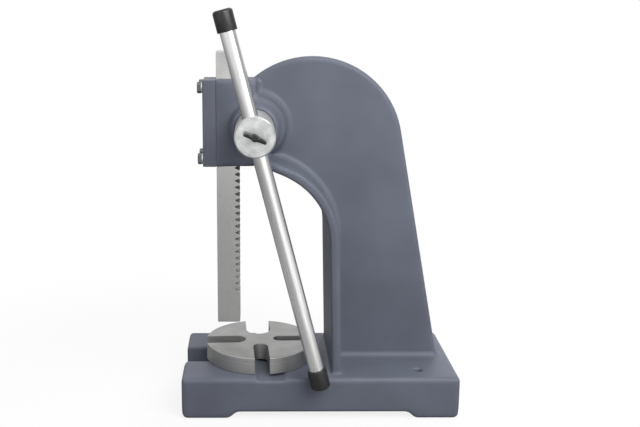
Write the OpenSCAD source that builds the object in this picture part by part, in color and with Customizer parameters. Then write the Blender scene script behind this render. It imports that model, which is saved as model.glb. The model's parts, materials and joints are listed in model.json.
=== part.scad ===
// Hand lever press: a cast T-section frame, a square rack ram, a pinion turned by a
// sliding lever, and a slotted table plate that turns on a pin in the base.
// Millimetres. X runs from front to back, Y across, Z up.
// The origin is on the ram's axis, at the level of the bench.

/* [Base] */
// Length of the base from front to back
base_len = 454; // [440:1:470]
// Width of the base
base_w = 216; // [208:1:226]
// Height of the base's top above the bench
base_h = 70; // [64:1:78]
// Distance from the ram's axis to the front end of the base
base_front = 76; // [70:1:86]
// Radius on the edges of the base
base_edge_r = 7; // [4:0.5:9]
// Height of the arch between the front and rear feet
foot_h = 11; // [8:1:14]
// Length of the front feet
front_foot_len = 78; // [70:1:90]
// Length of the rear foot
rear_foot_len = 72; // [70:1:80]
// Length of the slope from a foot up to the arch
foot_slope = 12; // [8:1:16]
// Width of the work slot that is open to the front
slot_w = 62; // [56:1:66]
// Wall between the work slot and the hole for the table pin
slot_wall = 10; // [8:1:14]
// Thickness of the base's top over the cored pockets
deck_t = 18; // [15:1:22]
// Thickness of the walls and of the rib around the cored pockets
pocket_wall = 16; // [13:1:20]
// Diameter of the holes for the bench bolts
bench_hole_d = 13; // [11:0.5:14]
// Distance between the bench bolts, across the base
bench_hole_pitch = 140; // [120:1:150]
// Distance from the bench bolts to the rear end of the base
bench_hole_inset = 63; // [52:1:64]
// Distance from the ram's axis to the relief channel in the base's top
channel_x = 46.5; // [44:0.5:50]
// Distance across the relief channel
channel_w = 46; // [36:1:50]
// Depth of the relief channel
channel_d = 4; // [2:0.5:6]

/* [Column] */
// Distance from the ram's axis to the column, at the base's top
throat_depth = 170; // [166:1:184]
// Height of the clear space from the base's top to the head
daylight = 335; // [315:1:355]
// Radius of the throat where the column bends over to the head
throat_r = 122; // [116:1:126]
// Forward lean of the column's front face, in degrees
throat_lean = 1.5; // [0.5:0.1:2.5]
// Rise of the throat's arc above the underside of the head
throat_rise = 4; // [2:0.5:6]
// Thickness of the front flange
flange_t = 15; // [12:0.5:18]
// Width of the front flange
flange_w = 180; // [170:1:190]
// Radius on the flange's edges
flange_edge_r = 4; // [2:0.5:5]
// Radius of the flange's shoulders beside the head, seen from above
shoulder_r = 46; // [40:1:50]
// Thickness of the web behind the flange
web_t = 18; // [15:1:22]
// Radius on the web's outer edge
web_edge_r = 6; // [3:0.5:7]
// Radius of the dome over the column
dome_r = 150; // [146:1:154]
// Distance from the ram's axis back to the dome's centre
dome_x = 138; // [134:1:142]
// Height of the dome's top above the head's top
dome_rise = 36; // [32:1:40]
// Backward slope of the web's rear edge, in degrees
back_slope = 10.5; // [9:0.1:11]
// Radius of the fillets between the web and the flange, and behind the head's block
web_fillet_r = 11; // [10:0.5:12.5]
// Radius of the fillet between the web and the base
foot_fillet_r = 8.5; // [6:0.5:9.5]

/* [Head] */
// Width of the head
head_w = 70; // [68:1:76]
// Height of the head
head_h = 142; // [136:1:150]
// Distance from the ram's axis to the back of the head's block
head_back = 47; // [44:1:52]
// Radius on the head's edges
head_edge_r = 5; // [3:0.5:6]
// Height of the pinion's axis above the underside of the head
pinion_up = 65; // [62:1:70]
// Wall of the head behind the pinion, outside the pinion's bore
bulge_wall = 20; // [18:1:24]
// Wall of the lever side's boss, outside the pinion's bore
boss_wall = 9; // [7:1:11]
// Length of the lever side's boss
boss_len = 17; // [14:1:20]
// Length of the far side's boss
far_boss_len = 14; // [12:1:18]
// Radius of the fillet between the head's round back and the web
bulge_fillet_r = 14; // [13:0.5:16]
// Radius of the fillet at the foot of each boss
boss_fillet_r = 7; // [5:0.5:8]

/* [Ram and pinion] */
// Side of the square ram
ram_side = 38; // [36:1:40]
// Length of the ram
ram_len = 457; // [445:1:480]
// Height of the ram above the table plate, as it stands
ram_up = 37; // [20:1:60]
// Clearance between the ram and its guide
ram_gap = 0.15; // [0.1:0.05:0.3]
// Chamfer on the ram's ends
ram_chamfer = 1.5; // [0.5:0.5:2.5]
// Module of the rack and the pinion
gear_module = 3.5; // [3.4:0.05:3.6]
// Number of teeth on the pinion
pinion_teeth = 16; // [16:1:17]
// Height from the ram's lower end to the lowest rack gap
rack_first = 57.5; // [54:0.5:60]
// Backlash between the rack and the pinion
backlash = 0.4; // [0.3:0.05:0.6]
// Diameter of the far journal of the pinion shaft
journal_d = 44; // [40:1:46]
// Radial clearance of the shaft in its bores
run_gap = 0.06; // [0.03:0.01:0.1]
// Clearance between faces that turn past each other
face_gap = 0.4; // [0.3:0.05:0.6]
// Thickness of the washer that retains the pinion shaft
keeper_t = 6; // [4:0.5:8]
// Overlap of that washer on the boss, outside the journal
keeper_lap = 8; // [5:0.5:10]
// Thread diameter of the bolt that holds that washer
keeper_bolt_d = 12; // [10:1:14]
// Depth of that bolt in the shaft
keeper_bolt_grip = 24; // [18:1:28]

/* [Lever] */
// Diameter of the lever bar
lever_d = 25; // [22:1:26]
// Lean of the lever from upright, top towards the front, in degrees
lever_lean = 14.6; // [0:0.1:40]
// Distance from the pinion's axis to the lever's upper end
lever_upper = 194; // [170:1:230]
// Distance from the pinion's axis to the lever's lower end
lever_lower = 421; // [380:1:430]
// Clearance between the lever's caps and the side of the base
lever_side_gap = 3.5; // [2:0.5:8]
// Radial clearance of the lever in the hub
lever_gap = 0.1; // [0.05:0.01:0.1]
// Wall of the hub in front of the lever
hub_lip = 8.5; // [7:0.5:12]
// Chamfer on the hub's outer end
hub_chamfer = 2; // [1:0.5:3]
// Length of a lever cap
cap_len = 33; // [28:1:40]
// Wall of a lever cap
cap_wall = 3; // [2:0.5:4]
// Thickness of a lever cap's closed end
cap_end_t = 4; // [3:0.5:6]

/* [Wing screw] */
// Thread diameter of the wing screw
wing_thread_d = 10; // [8:1:12]
// Span of the wings
wing_span = 38; // [32:1:44]
// Thickness of the wings
wing_t = 5; // [4:0.5:6]
// Height of the wings
wing_h = 15; // [12:1:18]
// Tilt of the wings below level, towards the back, in degrees
wing_tilt = 22; // [0:1:90]
// Gap between the screw's tip and the lever, and under its collar
wing_gap = 0.3; // [0.3:0.05:0.5]

/* [Front plate] */
// Thickness of the front plate
plate_t = 21.5; // [18:0.5:25]
// Margin by which the plate is smaller than the head's face, each side
plate_margin = 0.5; // [0:0.25:1]
// Radius on the plate's front edges
plate_edge_r = 2.5; // [1:0.5:4]
// Thread diameter of the plate's bolts
bolt_d = 10; // [8:1:10]
// Depth of a bolt's thread in the head
bolt_grip = 22; // [18:1:26]
// Distance between the bolts, across the plate
bolt_pitch_y = 52; // [50:0.5:53]
// Distance from the upper and lower bolts to the plate's ends
bolt_inset = 13; // [11:0.5:18]
// Thickness of a bolt's washer
washer_t = 2; // [1.5:0.25:2.5]
// Thread diameter of the gib screws that bear on the ram
gib_d = 8; // [6:1:10]
// Distance between the two gib screws
gib_pitch = 80; // [60:1:90]
// Width of the hexagon socket in a gib screw
gib_socket = 4; // [3:0.5:4]
// Radial clearance of screws and pins in their holes
screw_gap = 0.05; // [0.03:0.01:0.1]

/* [Table plate] */
// Diameter of the table plate
table_d = 184; // [172:1:190]
// Thickness of the table plate
table_t = 28; // [24:1:32]
// Width of the slot that stands to the front
table_slot_front = 32; // [28:1:36]
// Width of the slot on the lever's side
table_slot_near = 25; // [22:1:28]
// Width of the slot that stands to the back
table_slot_back = 22; // [18:1:26]
// Width of the slot on the far side
table_slot_far = 42; // [38:1:44]
// Distance from the plate's centre to the slots' round ends
slot_inner = 24; // [22:1:28]
// Turn of the plate as it stands, in degrees
table_turn = 2.5; // [0:0.5:45]
// Chamfer on the plate's rims
table_chamfer = 0.8; // [0.4:0.2:1.6]
// Diameter of the pin that the plate turns on
pin_d = 22; // [18:1:24]
// Depth of the pin in the base
pin_base = 34; // [26:1:40]
// Depth of the pin in the plate
pin_plate = 16; // [12:1:18]

/* [Hidden] */
$fn = 96;
eps = 0.01;
// A cut reaches this far past the face that it opens
over = 5;
// A piece of the casting runs this far into the one that carries it
bury = 10;

// Base
base_rear = base_len - base_front;
rear_foot_x = base_rear - rear_foot_len;
front_foot_x = front_foot_len - base_front;
table_x = slot_w / 2 + slot_wall + pin_d / 2;
pocket_x0 = table_x + pin_d / 2 + pocket_wall;
pocket_x1 = rear_foot_x - foot_slope;
pocket_w = (base_w - 3 * pocket_wall) / 2;
bench_hole_x = base_rear - bench_hole_inset;
table_top = base_h + table_t;
table_slots = [table_slot_front, table_slot_near, table_slot_back, table_slot_far];

// Head and gearing
head_z0 = base_h + daylight;
head_z1 = head_z0 + head_h;
head_y = head_w / 2;
seam_x = -ram_side / 2 - ram_gap;
pinion_z = head_z0 + pinion_up;
pressure_angle = 20;
rack_pitch = PI * gear_module;
pitch_r = gear_module * pinion_teeth / 2;
tip_r = pitch_r + gear_module;
root_r = pitch_r - 1.25 * gear_module;
base_circle_r = pitch_r * cos(pressure_angle);
// A rack addendum that a pinion with few teeth can run with
rack_addendum = pitch_r * pow(sin(pressure_angle), 2) - 0.1;
rack_dedendum = 1.25 * gear_module;
pinion_x = ram_side / 2 - rack_addendum + pitch_r;
hub_r = tip_r;
bore_r = hub_r + run_gap;
boss_r = bore_r + boss_wall;
bulge_r = bore_r + bulge_wall;
boss_face_y = -head_y - boss_len;
far_face_y = head_y + far_boss_len;
shaft_end_y = far_face_y + face_gap;
gear_y0 = -ram_side / 2 - face_gap;
gear_y1 = ram_side / 2;
ram_z0 = table_top + ram_up;
// Rack gaps reach high enough for the ram to come down on the table plate
rack_reach = pinion_z - table_top + 2 * rack_pitch;
rack_gaps = 1 + ceil((rack_reach - rack_first) / rack_pitch);
// The rack gap that faces the pinion, and how far it stands below the pinion's axis
facing_gap = floor((pinion_z - ram_z0 - rack_first) / rack_pitch);
mesh_drop = pinion_z - ram_z0 - rack_first - facing_gap * rack_pitch;
mesh_turn = mesh_drop / pitch_r * 180 / PI;

// Lever
cap_d = lever_d + 2 * cap_wall;
lever_y = -base_w / 2 - cap_d / 2 - lever_side_gap;
hub_face_y = lever_y - lever_d / 2 - hub_lip;

// Column
throat_z = head_z0 - throat_r + throat_rise;
throat_x = throat_depth - (throat_z - base_h) * tan(throat_lean) - throat_r / cos(throat_lean);
dome_z = head_z1 + dome_rise - dome_r;
back_foot_x = dome_x + (dome_r + (dome_z - base_h) * sin(back_slope)) / cos(back_slope);

// Front plate and its screws
plate_x0 = seam_x - plate_t;
bolt_af = 1.6 * bolt_d;
bolt_head_h = 0.64 * bolt_d;
washer_d = 1.7 * bolt_d;
// A blind hole is deeper than its bolt by this much
hole_spare = 2;
bolt_zs = [head_z0 + bolt_inset, head_z1 - bolt_inset];
bolt_ys = [-bolt_pitch_y / 2, bolt_pitch_y / 2];
gib_z = (head_z0 + head_z1) / 2;

CAST = "#666a76";
STEEL = "#b9babc";
DARK = "#2c2c2e";
ZINC = "#c9cacc";

BOLTS = [for (i = [1:4]) str("plate_bolt_", i)];
WASHERS = [for (i = [1:4]) str("plate_washer_", i)];

// A rectangle from one corner to another, with its corners rounded
module round_rect(x0, y0, x1, y1, r) {
    translate([x0 + r, y0]) square([x1 - x0 - 2 * r, y1 - y0]);
    translate([x0, y0 + r]) square([x1 - x0, y1 - y0 - 2 * r]);
    for (x = [x0 + r, x1 - r], y = [y0 + r, y1 - r]) translate([x, y]) circle(r);
}

// The hollow quarter of a fillet, with its corner at the origin. Its ends meet the faces at a slight
// angle, because a face that only grazes another can't be joined to it cleanly
module fillet(r) {
    difference() {
        translate([-eps, -eps]) square(r + eps);
        translate([r, r]) circle(r * 1.005);
    }
}

// An outline drawn in X and Z, given a thickness from y0 to y1
module across(y0, y1) {
    translate([0, y1, 0]) rotate([90, 0, 0]) linear_extrude(y1 - y0) children();
}

// An outline drawn in Y and Z, given a length from x0 to x1
module along(x0, x1) {
    translate([x0, 0, 0]) rotate([90, 0, 90]) linear_extrude(x1 - x0) children();
}

// A shape drawn up its own Z axis, laid along Y at a place in X and Z
module lay_y(x, y, z) {
    translate([x, y, z]) rotate([-90, 0, 0]) children();
}

// A profile of radius and Y turned about a cross axis from one angle to another above the level line,
// and carried on from its first angle straight down
module bend_and_drop(x, z, a0, a1, drop) {
    translate([x, 0, z]) rotate([90, 0, 0]) rotate([0, 0, a0]) {
        rotate_extrude(angle = a1 - a0) children();
        rotate([90, 0, 0]) linear_extrude(drop) children();
    }
}

// Base: two prongs beside the work slot, feet, an arch between them and cored pockets below
module base_plan() {
    difference() {
        union() {
            round_rect(-base_edge_r, -base_w / 2, base_rear, base_w / 2, base_edge_r);
            for (s = [-1, 1]) {
                y0 = s > 0 ? slot_w / 2 : -base_w / 2;
                round_rect(-base_front, y0, bury, y0 + (base_w - slot_w) / 2, base_edge_r);
            }
        }
        circle(slot_w / 2);
        translate([-base_front - over, -slot_w / 2]) square([base_front + over, slot_w]);
    }
}

module base_side() {
    difference() {
        round_rect(-base_front, 0, base_rear, base_h, base_edge_r);
        polygon([
            [front_foot_x, -eps],
            [front_foot_x + foot_slope, foot_h],
            [rear_foot_x - foot_slope, foot_h],
            [rear_foot_x, -eps]
        ]);
    }
}

module base_block() {
    intersection() {
        linear_extrude(base_h) base_plan();
        across(-base_w / 2, base_w / 2) base_side();
        along(-base_front, base_rear) round_rect(-base_w / 2, -base_edge_r, base_w / 2, base_h, base_edge_r);
    }
}

module base_cuts() {
    for (s = [-1, 1]) {
        y0 = s > 0 ? pocket_wall / 2 : -pocket_wall / 2 - pocket_w;
        translate([0, 0, -over]) linear_extrude(base_h - deck_t + over)
            round_rect(pocket_x0, y0, pocket_x1, y0 + pocket_w, base_edge_r);
        translate([bench_hole_x, s * bench_hole_pitch / 2, -over])
            cylinder(d = bench_hole_d, h = base_h + 2 * over);
    }
    translate([table_x, 0, base_h - pin_base]) cylinder(d = pin_d, h = pin_base + over);
    translate([channel_x, -base_w, base_h - channel_d]) cube([channel_w, 2 * base_w, channel_d + over]);
}

// Column: a flange round the throat, a web behind it with a domed top, and fillets between them
module flange_profile() {
    r1 = throat_r + flange_t;
    round_rect(throat_r, -flange_w / 2, r1, flange_w / 2, flange_edge_r);
    for (s = [-1, 1]) translate([r1, s * web_t / 2]) mirror([0, s < 0 ? 1 : 0]) fillet(web_fillet_r);
}

module flange() {
    drop = (throat_z - base_h + bury) / cos(throat_lean);
    plan_x = head_back + shoulder_r;
    intersection() {
        bend_and_drop(throat_x, throat_z, throat_lean, 90, drop) flange_profile();
        linear_extrude(head_z1) union() {
            translate([plan_x, -flange_w / 2]) square([base_rear - plan_x, flange_w]);
            translate([throat_x - bury, shoulder_r - flange_w / 2])
                square([base_rear, flange_w - 2 * shoulder_r]);
            for (s = [-1, 1]) translate([plan_x, s * (flange_w / 2 - shoulder_r)]) circle(shoulder_r);
        }
    }
}

module web_rim_profile() {
    difference() {
        round_rect(dome_r - 4 * web_edge_r, -web_t / 2, dome_r, web_t / 2, web_edge_r);
        translate([dome_r - 4 * web_edge_r, -web_t]) square([web_edge_r, 2 * web_t]);
    }
}

// The web inside its rounded rim, as far as the middle of the flange
module web_outline() {
    core_r = dome_r - 1.5 * web_edge_r;
    back_r = dome_r - 2 * web_edge_r;
    flange_mid = throat_r + flange_t / 2;
    core_foot = back_foot_x - 2 * web_edge_r / cos(back_slope) + bury * tan(back_slope);
    difference() {
        union() {
            translate([dome_x, dome_z]) circle(core_r);
            polygon([
                [dome_x, dome_z],
                [dome_x + back_r * cos(back_slope), dome_z + back_r * sin(back_slope)],
                [core_foot, base_h - bury],
                [throat_depth + flange_t / 2, base_h - bury],
                [throat_x + flange_mid, throat_z],
                [throat_x, head_z0]
            ]);
        }
        translate([throat_x, throat_z]) circle(flange_mid);
        translate([dome_x - 2 * dome_r, dome_z - 2 * dome_r])
            square([throat_x - dome_x + 2 * dome_r, 2 * dome_r + head_z0 - dome_z]);
    }
}

module web() {
    drop = (dome_z + dome_r * sin(back_slope) - base_h + bury) / cos(back_slope);
    foot_x0 = throat_depth + flange_t;
    foot_x1 = back_foot_x - web_t / 2;
    across(-web_t / 2, web_t / 2) web_outline();
    bend_and_drop(dome_x, dome_z, back_slope, 150, drop) web_rim_profile();
    for (s = [-1, 1]) along(foot_x0 - flange_t / 2, foot_x1)
        translate([s * web_t / 2, base_h]) mirror([s < 0 ? 1 : 0, 0]) fillet(foot_fillet_r);
    translate([foot_x1, 0, base_h]) rotate([0, 0, -90]) rotate_extrude(angle = 180)
        translate([web_t / 2, 0]) fillet(foot_fillet_r);
}

// Head: a block with the ram's channel, a round back and a boss on each side for the pinion shaft
module boss_profile(r, y0, y1) {
    edge_r = boss_fillet_r / 3;
    difference() {
        union() {
            translate([0, y0]) square([r - edge_r, y1 - y0]);
            translate([0, y0]) square([r, y1 - y0 - edge_r]);
            translate([r - edge_r, y1 - edge_r]) circle(edge_r);
        }
        translate([-r, y0 - over]) square([r, y1 - y0 + 2 * over]);
    }
}

module head_boss(side, r, len) {
    lay_y(pinion_x, 0, pinion_z) rotate([side > 0 ? 0 : 180, 0, 0]) rotate_extrude() {
        boss_profile(r, 0, head_y + len);
        translate([r, head_y]) fillet(boss_fillet_r);
    }
}

module head_bulge() {
    for (side = [0, 180]) lay_y(pinion_x, 0, pinion_z) rotate([side, 0, 0]) rotate_extrude() {
        boss_profile(bulge_r, -eps, head_y);
        translate([bulge_r, web_t / 2]) fillet(bulge_fillet_r);
    }
}

module head_block() {
    along(seam_x, head_back) round_rect(-head_y, head_z0, head_y, head_z1, head_edge_r);
    translate([0, 0, head_z0]) linear_extrude(head_h - head_edge_r)
        for (s = [-1, 1]) translate([head_back, s * web_t / 2])
            mirror([0, s < 0 ? 1 : 0]) fillet(web_fillet_r);
}

module head_cuts() {
    guide = ram_side / 2 + ram_gap;
    bore_y0 = boss_face_y - over;
    translate([seam_x - over, -guide, head_z0 - over])
        cube([guide - seam_x + over, 2 * guide, head_h + 2 * over]);
    lay_y(pinion_x, bore_y0, pinion_z) cylinder(r = bore_r, h = gear_y1 + face_gap - bore_y0);
    lay_y(pinion_x, 0, pinion_z) cylinder(d = journal_d + 2 * run_gap, h = far_face_y + over);
    for (y = bolt_ys, z = bolt_zs) translate([seam_x - over, y, z]) rotate([0, 90, 0])
        cylinder(d = bolt_d + 2 * screw_gap, h = bolt_grip + hole_spare + over);
}

module frame_casting() {
    color(CAST) difference() {
        union() {
            base_block();
            flange();
            web();
            head_block();
            head_bulge();
            head_boss(-1, boss_r, boss_len);
            head_boss(1, journal_d / 2 + run_gap + boss_wall + keeper_lap / 2, far_boss_len);
        }
        base_cuts();
        head_cuts();
    }
}

// Front plate: it closes the ram's channel and carries the gib screws
module front_plate() {
    y = head_y - plate_margin;
    color(CAST) difference() {
        intersection() {
            along(plate_x0, seam_x)
                round_rect(-y, head_z0 + plate_margin, y, head_z1 - plate_margin, plate_edge_r);
            across(-y, y) round_rect(plate_x0, head_z0, seam_x + plate_edge_r, head_z1, plate_edge_r);
            linear_extrude(head_z1) round_rect(plate_x0, -y, seam_x + plate_edge_r, y, plate_edge_r);
        }
        for (by = bolt_ys, z = bolt_zs) translate([plate_x0 - over, by, z]) rotate([0, 90, 0])
            cylinder(d = bolt_d + 4 * screw_gap, h = plate_t + 2 * over);
        for (s = [-1, 1]) translate([plate_x0 - over, 0, gib_z + s * gib_pitch / 2]) rotate([0, 90, 0])
            cylinder(d = gib_d + 2 * screw_gap, h = plate_t + 2 * over);
    }
}

module plate_washer(y, z) {
    color(ZINC) translate([plate_x0 - washer_t, y, z]) rotate([0, 90, 0]) difference() {
        cylinder(d = washer_d, h = washer_t);
        translate([0, 0, -over]) cylinder(d = bolt_d + 4 * screw_gap, h = washer_t + 2 * over);
    }
}

// A hexagon head with its rim turned to a cone
module hex_head(af, h) {
    corner_r = af / sqrt(3);
    intersection() {
        cylinder(r = corner_r, h = h, $fn = 6);
        cylinder(r1 = af / 2 + h, r2 = af / 2 - af / 40, h = h + af / 40);
    }
}

// Its head's corners point up and down, and its shank ends in the head's thread
module plate_bolt(y, z) {
    reach = washer_t + plate_t + bolt_grip;
    color(DARK) translate([plate_x0 - washer_t, y, z]) rotate([0, 90, 0]) {
        cylinder(d = bolt_d, h = reach);
        rotate([180, 0, 0]) hex_head(bolt_af, bolt_head_h);
    }
}

// It stands flush in the plate, with a socket in front and its tip at the ram
module gib_screw(z) {
    color(DARK) translate([plate_x0 + plate_edge_r, 0, z]) rotate([0, 90, 0]) difference() {
        cylinder(d = gib_d, h = plate_t - plate_edge_r);
        translate([0, 0, -over]) cylinder(d = gib_socket / cos(30), h = gib_socket + over, $fn = 6);
    }
}

// Ram: a square bar with rack teeth on its back
module rack_gap_outline() {
    half = rack_pitch / 4;
    slope = tan(pressure_angle);
    mouth = rack_addendum + over;
    polygon([
        [ram_side / 2 + over, half + mouth * slope],
        [ram_side / 2 + over, -half - mouth * slope],
        [ram_side / 2 - rack_addendum - rack_dedendum, -half + rack_dedendum * slope],
        [ram_side / 2 - rack_addendum - rack_dedendum, half - rack_dedendum * slope]
    ]);
}

module ram_outline() {
    h = ram_side / 2;
    c = ram_chamfer;
    polygon([
        [-h + c, 0], [h - c, 0], [h, c], [h, ram_len - c],
        [h - c, ram_len], [-h + c, ram_len], [-h, ram_len - c], [-h, c]
    ]);
}

module ram() {
    color(STEEL) translate([0, 0, ram_z0]) difference() {
        intersection() {
            across(-ram_side / 2, ram_side / 2) ram_outline();
            along(-ram_side / 2, ram_side / 2) ram_outline();
        }
        for (i = [0:rack_gaps - 1]) translate([0, 0, rack_first + i * rack_pitch])
            across(-ram_side, ram_side) rack_gap_outline();
    }
}

// Half of a pinion tooth's angle at a radius, from the involute of the base circle
function involute_deg(r) =
    let (a = acos(min(1, base_circle_r / r)))
    tan(a) * 180 / PI - a;

function half_tooth(r) =
    90 / pinion_teeth - backlash / 2 / pitch_r * 180 / PI
    + involute_deg(pitch_r) - involute_deg(max(r, base_circle_r));

FLANK_STEPS = 6;
FLANK_RADII = [
    root_r,
    for (i = [0:FLANK_STEPS]) base_circle_r + (tip_r - base_circle_r) * i / FLANK_STEPS
];

function polar(r, a) = [r * cos(a), r * sin(a)];

module pinion_outline() {
    last = len(FLANK_RADII) - 1;
    polygon([
        for (t = [0:pinion_teeth - 1], side = [-1, 1], i = [0:last])
        let (r = FLANK_RADII[side < 0 ? i : last - i])
        polar(r, t * 360 / pinion_teeth + side * half_tooth(r))
    ]);
}

// Pinion shaft: one bar with a hub for the lever, the teeth and a smaller far journal
module pinion_shaft() {
    color(STEEL) translate([pinion_x, 0, pinion_z]) difference() {
        union() {
            lay_y(0, hub_face_y, 0) cylinder(r1 = hub_r - hub_chamfer, r2 = hub_r, h = hub_chamfer);
            lay_y(0, hub_face_y + hub_chamfer, 0) cylinder(r = hub_r, h = gear_y0 - hub_face_y - hub_chamfer);
            across(gear_y0 - eps, gear_y1) rotate(180 + mesh_turn) pinion_outline();
            lay_y(0, gear_y1 - eps, 0) cylinder(d = journal_d, h = shaft_end_y - gear_y1 + eps);
        }
        translate([0, lever_y, 0]) rotate([0, -lever_lean, 0])
            cylinder(d = lever_d + 2 * lever_gap, h = 4 * hub_r, center = true);
        lay_y(0, hub_face_y - over, 0)
            cylinder(d = wing_thread_d + 2 * screw_gap, h = hub_lip + lever_d / 2 + over);
        lay_y(0, shaft_end_y - keeper_bolt_grip - hole_spare, 0)
            cylinder(d = keeper_bolt_d + 2 * screw_gap, h = keeper_bolt_grip + hole_spare + over);
    }
}

// The washer and bolt on the shaft's far end keep the shaft in the head
module keeper_washer() {
    color(STEEL) lay_y(pinion_x, shaft_end_y, pinion_z) difference() {
        cylinder(d = journal_d + 2 * keeper_lap, h = keeper_t);
        translate([0, 0, -over]) cylinder(d = keeper_bolt_d + 4 * screw_gap, h = keeper_t + 2 * over);
    }
}

module keeper_bolt() {
    reach = keeper_bolt_grip + keeper_t;
    color(DARK) lay_y(pinion_x, shaft_end_y - keeper_bolt_grip, pinion_z) {
        cylinder(d = keeper_bolt_d, h = reach);
        translate([0, 0, reach]) hex_head(1.5 * keeper_bolt_d, 0.625 * keeper_bolt_d);
    }
}

// A shape drawn up the lever's own axis, from the pinion's axis
module on_lever() {
    translate([pinion_x, lever_y, pinion_z]) rotate([0, -lever_lean, 0]) children();
}

module lever_bar() {
    color(STEEL) on_lever() translate([0, 0, cap_end_t - lever_lower])
        cylinder(d = lever_d, h = lever_lower + lever_upper - 2 * cap_end_t);
}

// A cap drawn with its closed end up
module lever_cap() {
    edge_r = cap_end_t - 1;
    lip_r = cap_wall / 4;
    rotate_extrude() difference() {
        union() {
            translate([0, lip_r]) square([cap_d / 2, cap_len - edge_r - lip_r]);
            square([cap_d / 2 - lip_r, cap_len - edge_r]);
            translate([cap_d / 2 - lip_r, lip_r]) circle(lip_r);
            square([cap_d / 2 - edge_r, cap_len]);
            translate([cap_d / 2 - edge_r, cap_len - edge_r]) circle(edge_r);
        }
        translate([-over, -over]) square([lever_d / 2 + screw_gap + over, cap_len - cap_end_t + over]);
        translate([-cap_d, -over]) square([cap_d, cap_len + 2 * over]);
    }
}

module lever_cap_upper() {
    color(DARK) on_lever() translate([0, 0, lever_upper - cap_len]) lever_cap();
}

module lever_cap_lower() {
    color(DARK) on_lever() translate([0, 0, cap_len - lever_lower]) rotate([180, 0, 0]) lever_cap();
}

// Wing screw in the hub's face, with its tip at the lever
module wing_outline() {
    ear_r = wing_h * 0.36;
    ear_x = wing_span / 2 - ear_r;
    ear_z = wing_h - ear_r;
    for (s = [-1, 1]) translate([s * ear_x, ear_z]) circle(ear_r);
    polygon([
        [-wing_thread_d / 2, 0],
        [-ear_x - ear_r * 0.8, ear_z - ear_r * 0.6],
        [-ear_x, wing_h],
        [0, wing_h * 0.55],
        [ear_x, wing_h],
        [ear_x + ear_r * 0.8, ear_z - ear_r * 0.6],
        [wing_thread_d / 2, 0]
    ]);
}

module wing_screw() {
    collar_d = wing_thread_d * 1.4;
    color(DARK) translate([pinion_x, hub_face_y - wing_gap, pinion_z])
        rotate([0, wing_tilt, 0]) rotate([90, 0, 0]) {
        translate([0, 0, -hub_lip]) cylinder(d = wing_thread_d, h = hub_lip + wing_h / 4);
        cylinder(d1 = collar_d, d2 = collar_d * 0.85, h = wing_h * 0.6);
        rotate([90, 0, 0]) translate([0, 0, -wing_t / 2]) linear_extrude(wing_t) wing_outline();
    }
}

// Table plate with four slots of different widths, and the pin that it turns on
module table_plate() {
    r = table_d / 2;
    c = table_chamfer;
    color(STEEL) translate([table_x, 0, base_h]) rotate([0, 0, table_turn]) difference() {
        rotate_extrude()
            polygon([[0, 0], [r - c, 0], [r, c], [r, table_t - c], [r - c, table_t], [0, table_t]]);
        for (i = [0:3]) rotate([0, 0, 180 + 90 * i]) translate([slot_inner + table_slots[i] / 2, 0, -over]) {
            cylinder(d = table_slots[i], h = table_t + 2 * over);
            translate([0, -table_slots[i] / 2, 0]) cube([r, table_slots[i], table_t + 2 * over]);
        }
        translate([0, 0, -over])
            cylinder(d = pin_d - 2 * screw_gap + 2 * run_gap, h = pin_plate + face_gap + over);
    }
}

module table_pin() {
    c = pin_d / 20;
    r = pin_d / 2 - screw_gap;
    h = pin_base + pin_plate;
    color(STEEL) translate([table_x, 0, base_h - pin_base])
        rotate_extrude() polygon([[0, 0], [r - c, 0], [r, c], [r, h - c], [r - c, h], [0, h]]);
}

frame_casting();
front_plate();
gib_screw(gib_z + gib_pitch / 2);  // gib_screw_upper
gib_screw(gib_z - gib_pitch / 2);  // gib_screw_lower
ram();
pinion_shaft();
keeper_washer();
keeper_bolt();
lever_bar();
lever_cap_upper();
lever_cap_lower();
wing_screw();
table_plate();
table_pin();
for (i = [0:3]) {
    y = bolt_ys[i % 2];
    z = bolt_zs[floor(i / 2)];
    plate_bolt(y, z);
    plate_washer(y, z);
}
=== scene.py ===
"""Looks of a hand lever press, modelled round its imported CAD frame.

Each sub-assembly is a class whose fields are its sizes and whose methods model its meshes and dress them.
Lengths are metres unless a name ends in _mm. X runs from front to back, Y away from the lever, Z up.
"""

import json
import logging
import math
from dataclasses import dataclass, field
from enum import Enum
from typing import Callable, Sequence

import bmesh
import bpy
from mathutils import Matrix, Vector


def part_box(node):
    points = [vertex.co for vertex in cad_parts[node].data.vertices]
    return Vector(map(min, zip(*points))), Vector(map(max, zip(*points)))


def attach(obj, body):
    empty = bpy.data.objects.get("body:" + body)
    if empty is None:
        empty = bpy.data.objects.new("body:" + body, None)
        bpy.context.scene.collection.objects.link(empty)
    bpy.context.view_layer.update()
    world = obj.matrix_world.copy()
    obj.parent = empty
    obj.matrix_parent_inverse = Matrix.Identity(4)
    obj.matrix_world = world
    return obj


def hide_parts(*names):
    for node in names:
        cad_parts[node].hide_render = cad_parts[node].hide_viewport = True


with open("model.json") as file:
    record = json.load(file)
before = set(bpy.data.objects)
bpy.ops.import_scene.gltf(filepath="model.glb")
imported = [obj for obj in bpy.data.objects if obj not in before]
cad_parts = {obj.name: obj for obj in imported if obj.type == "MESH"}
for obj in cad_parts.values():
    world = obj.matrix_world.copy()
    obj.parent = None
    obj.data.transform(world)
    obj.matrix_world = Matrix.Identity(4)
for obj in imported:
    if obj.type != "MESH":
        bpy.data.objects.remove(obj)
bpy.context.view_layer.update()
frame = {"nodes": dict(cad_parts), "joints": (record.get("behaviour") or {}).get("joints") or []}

LOG = logging.getLogger("press")
MM = 0.001
# Points closer than this are one point, and a centre this close to a place lies on it
MERGED = 0.02 * MM
NEAR = 0.1 * MM
# Triangles closer to one plane than this are one flat, and edges sharper than these are broken or stay sharp
FLAT_DEG = 0.5
BROKEN_DEG = 28
SHARP_DEG = 32

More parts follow.
